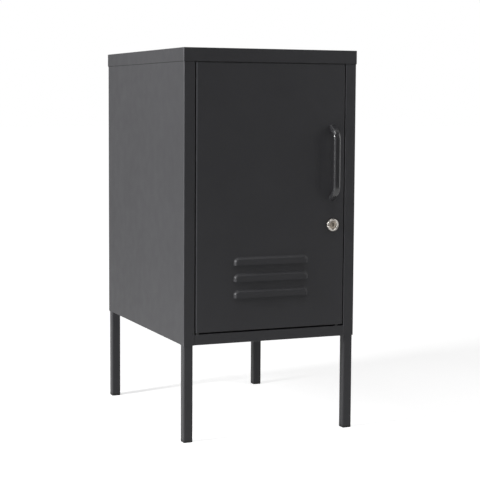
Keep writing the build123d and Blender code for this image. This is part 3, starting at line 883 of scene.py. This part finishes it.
# The rim's outline from its side into the dish: how far in from its side, and back from its front
rim_outline = [
    (0.12, 2.0), (0.5, 1.2), (1.0, 0.6), (1.5, 0.2), (2.0, 0.0), (2.6, 0.0), (3.1, 0.08), (3.5, 0.35),
    (3.95, 0.8), (4.3, dish_depth - 0.2), (4.6, dish_depth),
]
slot_half_angle = 0.17  # radians, of the slot across the left of the rim
slot_flat_share = 0.5  # of that angle, at the slot's full depth
slot_depth = 2.3  # from the rim's front
barrel_radius = 9.0
barrel_neck = 0.8  # plain stretch behind the rim
barrel_end_bevel = 0.4
barrel_flat_cut = 0.8  # depth of the flats above and below
barrel_thread_cut = 0.45  # from the barrel's radius to the thread's foot
barrel_thread_depth = 0.42
barrel_thread_pitch = 1.2
barrel_thread_gap = 0.9  # from the door's face to the nearest ring of the thread

keyway_half = (0.8, 4.0)  # half its width and height
keyway_mouth_half = (1.2, 4.3)
keyway_depth = 6.0
keyway_mouth_share = 0.62  # of the dome's rise
plug_dome = 0.9  # rise of the plug's face
plug_dome_shares = [(0.66, 0.5), (0.74, 0.34), (0.8, 0.18), (0.84, 0.0)]  # of its radius, and of that rise
plug_groove_shares = (0.86, 0.93, 0.97)  # radii of both sides of the groove's bottom, and of its lip
plug_groove_depth = 0.3
plug_edge = 0.1  # bevel outside the lip
plug_tail_half = 3.5  # half the width of its square tail


def slotted(height, bottom):
    """A height that drops to the bottom of the slot at the left of the lock's rim."""
    def drop(turn):
        away = abs(turn - math.pi) / slot_half_angle
        share = 1 - max(away - slot_flat_share, 0.0) / (1 - slot_flat_share)
        return height - max(0.0, height - bottom) * max(0.0, share)
    return drop


def lock_body_rings(outside, bore, front, rear):
    """The lock's body from the rear of its bore round its barrel and rim into the dish. Heights are from
    the door's face, outwards."""
    rings = [(bore, rear), (barrel_radius - barrel_end_bevel, rear)]
    flats = rectangle(math.inf, barrel_radius - barrel_flat_cut)
    height = rear + barrel_end_bevel
    while height < -barrel_thread_gap:
        turns = thread(barrel_radius - barrel_thread_cut, barrel_thread_depth, barrel_thread_pitch, height)
        rings.append((smaller(turns, flats), height))
        height += barrel_thread_pitch / rings_each_turn
    rings += [(barrel_radius, -barrel_neck), (barrel_radius, 0.0)]
    rings += [(outside - rim_edge, 0.0), (outside, rim_edge), (outside, front - rim_start)]
    slot_bottom = front - slot_depth
    rings += [(outside - inwards, slotted(front - back, slot_bottom)) for inwards, back in rim_outline]
    rings.append((bore, slotted(front - dish_depth, slot_bottom)))
    return rings


def lock_core_rings(radius, face, shoulder, tail):
    """The plug from the bottom of its keyway over its ringed face to its square tail."""
    rings = [(rectangle(*keyway_half), face - keyway_depth), (rectangle(*keyway_half), face)]
    rings.append((rectangle(*keyway_mouth_half), face + plug_dome * keyway_mouth_share))
    rings += [(radius * wide, face + plug_dome * tall) for wide, tall in plug_dome_shares]
    inner, outer, edge = (radius * share for share in plug_groove_shares)
    rings += [(inner, face - plug_groove_depth), (outer, face - plug_groove_depth), (edge, face)]
    rings += [(radius, face - plug_edge), (radius, shoulder)]
    square = rectangle(plug_tail_half, plug_tail_half)
    return rings + [(square, shoulder), (square, tail)]


def make_lock():
    """Lock body with a turned rim and a threaded barrel, and the plug with its ringed face and keyway."""
    low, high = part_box("lock_housing")
    plug_low, plug_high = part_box("lock_plug")
    centre, (width, _, _) = measures(low, high)
    _, (plug_width, _, _) = measures(plug_low, plug_high)
    front, rear, face, tail = ((door_face - y) / mm for y in (low.y, high.y, plug_low.y, plug_high.y))
    origin = (centre.x, door_face, centre.z)
    bore = plug_width / 2 + lock_clearance

    shape = bmesh.new()
    rings = lock_body_rings(width / 2, bore, front, rear)
    lathe(shape, rings, origin, (0, -1, 0), across_y, lock_steps, closed=True)
    nickel = metal("nickel", (0.66, 0.63, 0.59), roughness=0.34, grainy=False)
    make_piece("lock_body", shape, nickel, "door", "lock_housing")

    shape = bmesh.new()
    rings = lock_core_rings(bore - lock_clearance, face, rear - lock_clearance, tail)
    lathe(shape, rings, origin, (0, -1, 0), across_y, lock_steps)
    brass = metal("dull_brass", (0.5, 0.44, 0.37), roughness=0.38, grainy=False)
    make_piece("lock_core", shape, brass, "lock", "lock_plug")


# The scene

make_camera()
for lamp_name, lamp_values in lamps.items():
    make_lamp(lamp_name, *lamp_values)
make_world()
make_floor()

dress_coated()
dress_small_parts()
zinc_plate = metal("zinc", (0.62, 0.63, 0.66), roughness=0.32)
make_leg_screws(zinc_plate)
make_leg_nuts(zinc_plate)
make_blind_rivets(zinc_plate)
make_door_screws("handle_pan_screws", "handle_screws", "door", zinc_plate)
make_door_screws("cam_pan_screw", "cam_screw", "lock", zinc_plate)
# Painted shade under the cap's edge
make_cap_shade_strip()
make_bow_handle()
make_lock()
bpy.context.scene.view_settings.view_transform = "Standard"
